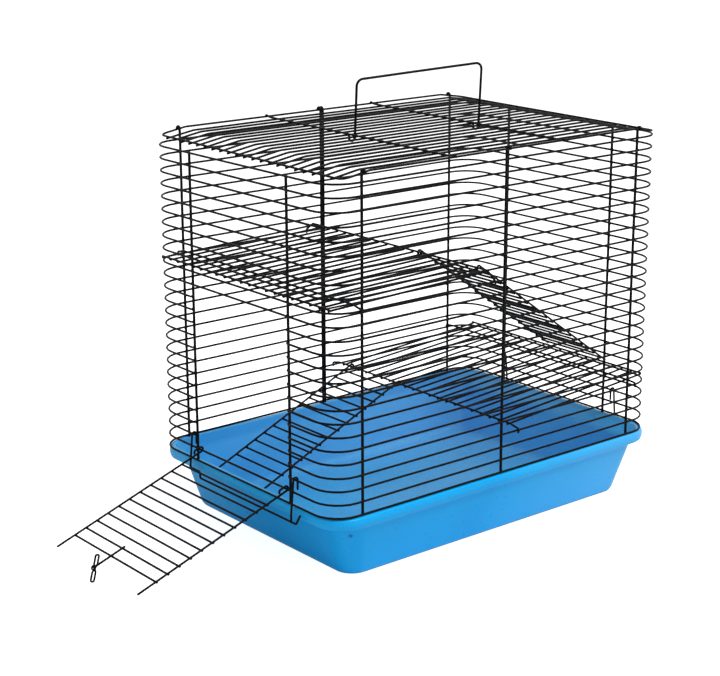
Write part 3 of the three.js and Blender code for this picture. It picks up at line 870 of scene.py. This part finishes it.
# %% Door panel
door_drop = radians(19.1)
door_rails = (-end_post_y + 4, end_post_y - 8.2)
door_rung_ends = (door_rails[0] - 0.5, door_rails[1] + 3)
door_pitch = 12.8
first_rung = 23.6
rung_count = 11
rail_end = 21.3
loop_run = 5.5
stem_lead = 2.5
stem_y = 3.2
catch_drop = 5.8
eye_bore, eye_wall = 1.4, 1.3
hinge_z = wall_z(hinge_wire)
latch_reach = wall_z(upper_shelf_wire) - hinge_z - catch_drop
door_seed = 190


def on_door(u, y, v):
    """A place on the door: u away from the hinge, v towards the inside of the cage when it is shut."""
    x = -half_x - u * cos(door_drop) - v * sin(door_drop)
    return Vector((x, y, hinge_z - u * sin(door_drop) + v * cos(door_drop)))


def make_door():
    work = Wirework()
    last_rung = first_rung + (rung_count - 1) * door_pitch
    door_up = on_door(0, 0, 1) - on_door(0, 0, 0)
    loop = [(last_rung + rail_end, -hook), *arc((0, 0), hook, 270, 90)]
    loop += arc((loop_run, 0), hook, 90, -20)
    for y in door_rails:
        path = [on_door(u, y, v) for u, v in loop]
        work.wire(wavered(filled(path), door_seed, sideways=0.2, upward=0.2), wire)
    for i in range(rung_count):
        u = first_rung + i * door_pitch
        rung = [on_door(u, y, -hook - cross_step) for y in door_rung_ends]
        work.wire(wavered(filled(rung), door_seed + 1, sideways=0.2, upward=0.2), wire)
        for y in door_rails:
            bead(work, on_door(u, y, -hook - cross_step / 2), door_up)
    stem = (last_rung - door_pitch - stem_lead, latch_reach - eye_bore - eye_wall / 2)
    work.wire(filled([on_door(u, stem_y, -hook) for u in stem]), wire)
    for u in (last_rung - door_pitch, last_rung):
        bead(work, on_door(u, stem_y, -hook - cross_step / 2), door_up)
    eye_radius = eye_bore + eye_wall / 2
    eye = [on_door(latch_reach + u, stem_y, v - hook) for u, v in arc((0, 0), eye_radius, 0, 336)]
    work.wire(eye, eye_wall / 2, closed=True)
    make_wire_piece("door_panel", work, "door")


make_door()
print("door rail, mm:", round(first_rung + (rung_count - 1) * door_pitch + rail_end, 1))

# %% [markdown]
# The catch is a figure-eight of thin wire that turns in the stem's eye. When the door is shut, either
# loop can be pushed through between two wall wires and turned behind them.

# %% Door catch
catch_lean = radians(34)
lobe_length = 13.6
lobe_half_width = 2.6
pin_proud = 0.8
lobe_y = stem_y - wire - catch_wire - seat
strand_step = 0.5
waist = 2.2  # where the crossing starts, in half widths of a lobe


def on_catch(u, y, v):
    """A place on the catch: v along its length, measured from its pin."""
    lean_u = u * cos(catch_lean) - v * sin(catch_lean)
    lean_v = u * sin(catch_lean) + v * cos(catch_lean)
    return on_door(latch_reach + lean_u, y, lean_v - hook)


def make_catch():
    work = Wirework()
    width = lobe_half_width - catch_wire
    far = lobe_length - catch_wire
    near = waist * width
    corners = [
        (width, near, 0), (width, far, 0), (-width, far, 0), (-width, near, 0),
        (width, -near, 1), (width, -far, 1), (-width, -far, 1), (-width, -near, 1),
    ]
    turns = [on_catch(u, lobe_y + strand_step * (layer - 0.5), v) for u, v, layer in corners]
    work.wire(bend(turns, 0.9 * width, closed=True), catch_wire, closed=True)
    pin = [on_catch(0, y, 0) for y in (stem_y + wire + pin_proud, lobe_y)]
    work.wire(pin, catch_wire)
    make_wire_piece("door_catch", work, "catch")


make_catch()
print("catch length, mm:", 2 * lobe_length)

# %% [markdown]
# At each end a springy bail hooks over a wall wire and hangs down outside the rim of the tray. Its foot
# is pressed under the rim to lock the cage down, and an upturned tip makes a place for a fingertip.

# %% Tray locks
lock_back_y = end_post_y + 2.5
lock_front_y = -end_post_y - 10.7
lock_inner_leg = 10.2
lock_reach = 5.5
lock_leg = 33
lock_bar = 39.5
back_foot = 16.5
front_run, front_slant, front_upturn = 7.5, 6.2, 10.3
lock_bend = 2
lock_seed = 200


def make_lock(node, body, side):
    def place(u, y, v):
        return Vector((side * (half_x + u), y, wall_z(lock_wire) + v))

    inner_y, outer_y = lock_back_y - back_foot, lock_front_y - front_run
    curl = [(-hook, -lock_inner_leg), *arc((0, 0), hook, 180, 0)]
    foot = bend([
        place(hook, lock_back_y, 0),
        place(lock_reach, lock_back_y, -lock_leg),
        place(lock_reach, inner_y, -lock_leg),
        place(lock_reach, inner_y, -lock_bar),
        place(lock_reach, outer_y, -lock_bar),
        place(lock_reach, outer_y - front_slant, front_upturn - lock_bar),
    ], lock_bend)
    back = [place(u, lock_back_y, v) for u, v in curl[:-1]] + foot
    front = [place(u, lock_front_y, v) for u, v in curl]
    front += [place(lock_reach, lock_front_y, -drop) for drop in (lock_leg, lock_bar)]
    work = Wirework()
    for path in (back, front):
        work.wire(wavered(filled(path), lock_seed + side, sideways=0.2, upward=0.2), wire)
    bead(work, place(lock_reach, lock_front_y, -lock_bar), across_x, 1.2 * wire)
    make_wire_piece(node, work, body)


make_lock("tray_lock_left", "lock_left", -1)
make_lock("tray_lock_right", "lock_right", 1)
print("pieces:", totals["pieces"], "faces:", totals["faces"])

# %% [markdown]
# The cage stands on a plain white floor in even studio light. The floor still takes a soft shadow. The
# background is white to the camera and to reflections, but it lights the cage at an ordinary level, so
# that the blue stays as blue as it was mixed.

# %% Floor and background
def seen_directly(tree):
    """1 for rays from the camera, off gloss or through glass, and 0 for light that falls on things."""
    light_path = tree.nodes.new("ShaderNodeLightPath")
    first = add_node(tree, "ShaderNodeMath")
    second = add_node(tree, "ShaderNodeMath")
    first.operation = second.operation = "MAXIMUM"
    tree.links.new(light_path.outputs["Is Camera Ray"], first.inputs[0])
    tree.links.new(light_path.outputs["Is Glossy Ray"], first.inputs[1])
    tree.links.new(first.outputs[0], second.inputs[0])
    tree.links.new(light_path.outputs["Is Transmission Ray"], second.inputs[1])
    return second.outputs[0]


floor_glow = 0.8


def floor_white():
    material, tree, shader = new_material("floor_white")
    shader.inputs["Base Color"].default_value = (0.82, 0.82, 0.82, 1)
    shader.inputs["Roughness"].default_value = 0.9
    shader.inputs["Specular IOR Level"].default_value = 0.1
    shader.inputs["Emission Color"].default_value = (1, 1, 1, 1)
    lift = add_node(tree, "ShaderNodeMath")
    lift.operation = "MULTIPLY"
    lift.inputs[1].default_value = floor_glow
    light_path = tree.nodes.new("ShaderNodeLightPath")
    tree.links.new(light_path.outputs["Is Camera Ray"], lift.inputs[0])
    tree.links.new(lift.outputs[0], shader.inputs["Emission Strength"])
    return material


def make_floor():
    reach, drop = 30, -0.0003
    mesh = bpy.data.meshes.new("studio_floor")
    corners = [(-reach, -reach, drop), (reach, -reach, drop), (reach, reach, drop), (-reach, reach, drop)]
    mesh.from_pydata(corners, [], [(0, 1, 2, 3)])
    mesh.materials.append(floor_white())
    floor = bpy.data.objects.new("studio_floor", mesh)
    bpy.context.scene.collection.objects.link(floor)


def make_background(light):
    world = bpy.data.worlds.new("studio")
    world.use_nodes = True
    bpy.context.scene.world = world
    tree = world.node_tree
    tree.nodes.clear()
    shown = add_node(tree, "ShaderNodeBackground", Color=(1, 1, 1, 1), Strength=1.0)
    lighting = add_node(tree, "ShaderNodeBackground", Color=(1, 1, 1, 1), Strength=light)
    mixed = tree.nodes.new("ShaderNodeMixShader")
    output = tree.nodes.new("ShaderNodeOutputWorld")
    tree.links.new(seen_directly(tree), mixed.inputs[0])
    tree.links.new(lighting.outputs[0], mixed.inputs[1])
    tree.links.new(shown.outputs[0], mixed.inputs[2])
    tree.links.new(mixed.outputs[0], output.inputs["Surface"])


daylight = 0.42
make_floor()
make_background(daylight)
print("world light:", daylight, "floor glow to the camera:", floor_glow)

# %% [markdown]
# Two large lamps are enough. The main one stands to the front right and high, and a weaker one on the
# left keeps the door end from going dull. Large lamps give long, soft highlights along the wires.

# %% Lamps
lamp_target = Vector((0, 0, 0.15))


def make_lamp(name, place, size, power):
    data = bpy.data.lights.new(name, "AREA")
    data.shape = "DISK"
    data.size = size
    data.energy = power
    lamp = bpy.data.objects.new(name, data)
    lamp.location = place
    lamp.rotation_euler = (lamp_target - Vector(place)).to_track_quat("-Z", "Y").to_euler()
    bpy.context.scene.collection.objects.link(lamp)


make_lamp("main_lamp", place=(0.7, -1.4, 2.6), size=1.4, power=70)
make_lamp("left_lamp", place=(-2.4, -0.4, 1.5), size=1.6, power=10)

# %% [markdown]
# The photograph was taken with a long lens from the front left, a little above the cage. The camera's
# place and angles come from lining up the wires of the model with those in the photograph.

# %% Camera
camera_place = Vector((-1107.39, -1286.58, 658.3)) * mm
camera_azimuth = radians(-39.1)
camera_elevation = radians(16.113)
camera_roll = radians(-0.193)
camera_lens = 87.8
camera_shift = -0.0011


def make_camera():
    flat = cos(camera_elevation)
    back = Vector((sin(camera_azimuth) * flat, -cos(camera_azimuth) * flat, sin(camera_elevation)))
    right = (-back).cross(up).normalized()
    top = right.cross(-back)
    turned_right = right * cos(camera_roll) + top * sin(camera_roll)
    turned_up = top * cos(camera_roll) - right * sin(camera_roll)
    data = bpy.data.cameras.new("camera")
    data.lens = camera_lens
    data.shift_x = camera_shift
    camera = bpy.data.objects.new("camera", data)
    turned = Matrix((turned_right, turned_up, back)).transposed().to_4x4()
    camera.matrix_world = Matrix.Translation(camera_place) @ turned
    bpy.context.scene.collection.objects.link(camera)
    bpy.context.scene.camera = camera


make_camera()
bpy.context.scene.view_settings.view_transform = "Standard"
print("camera lens, mm:", camera_lens)
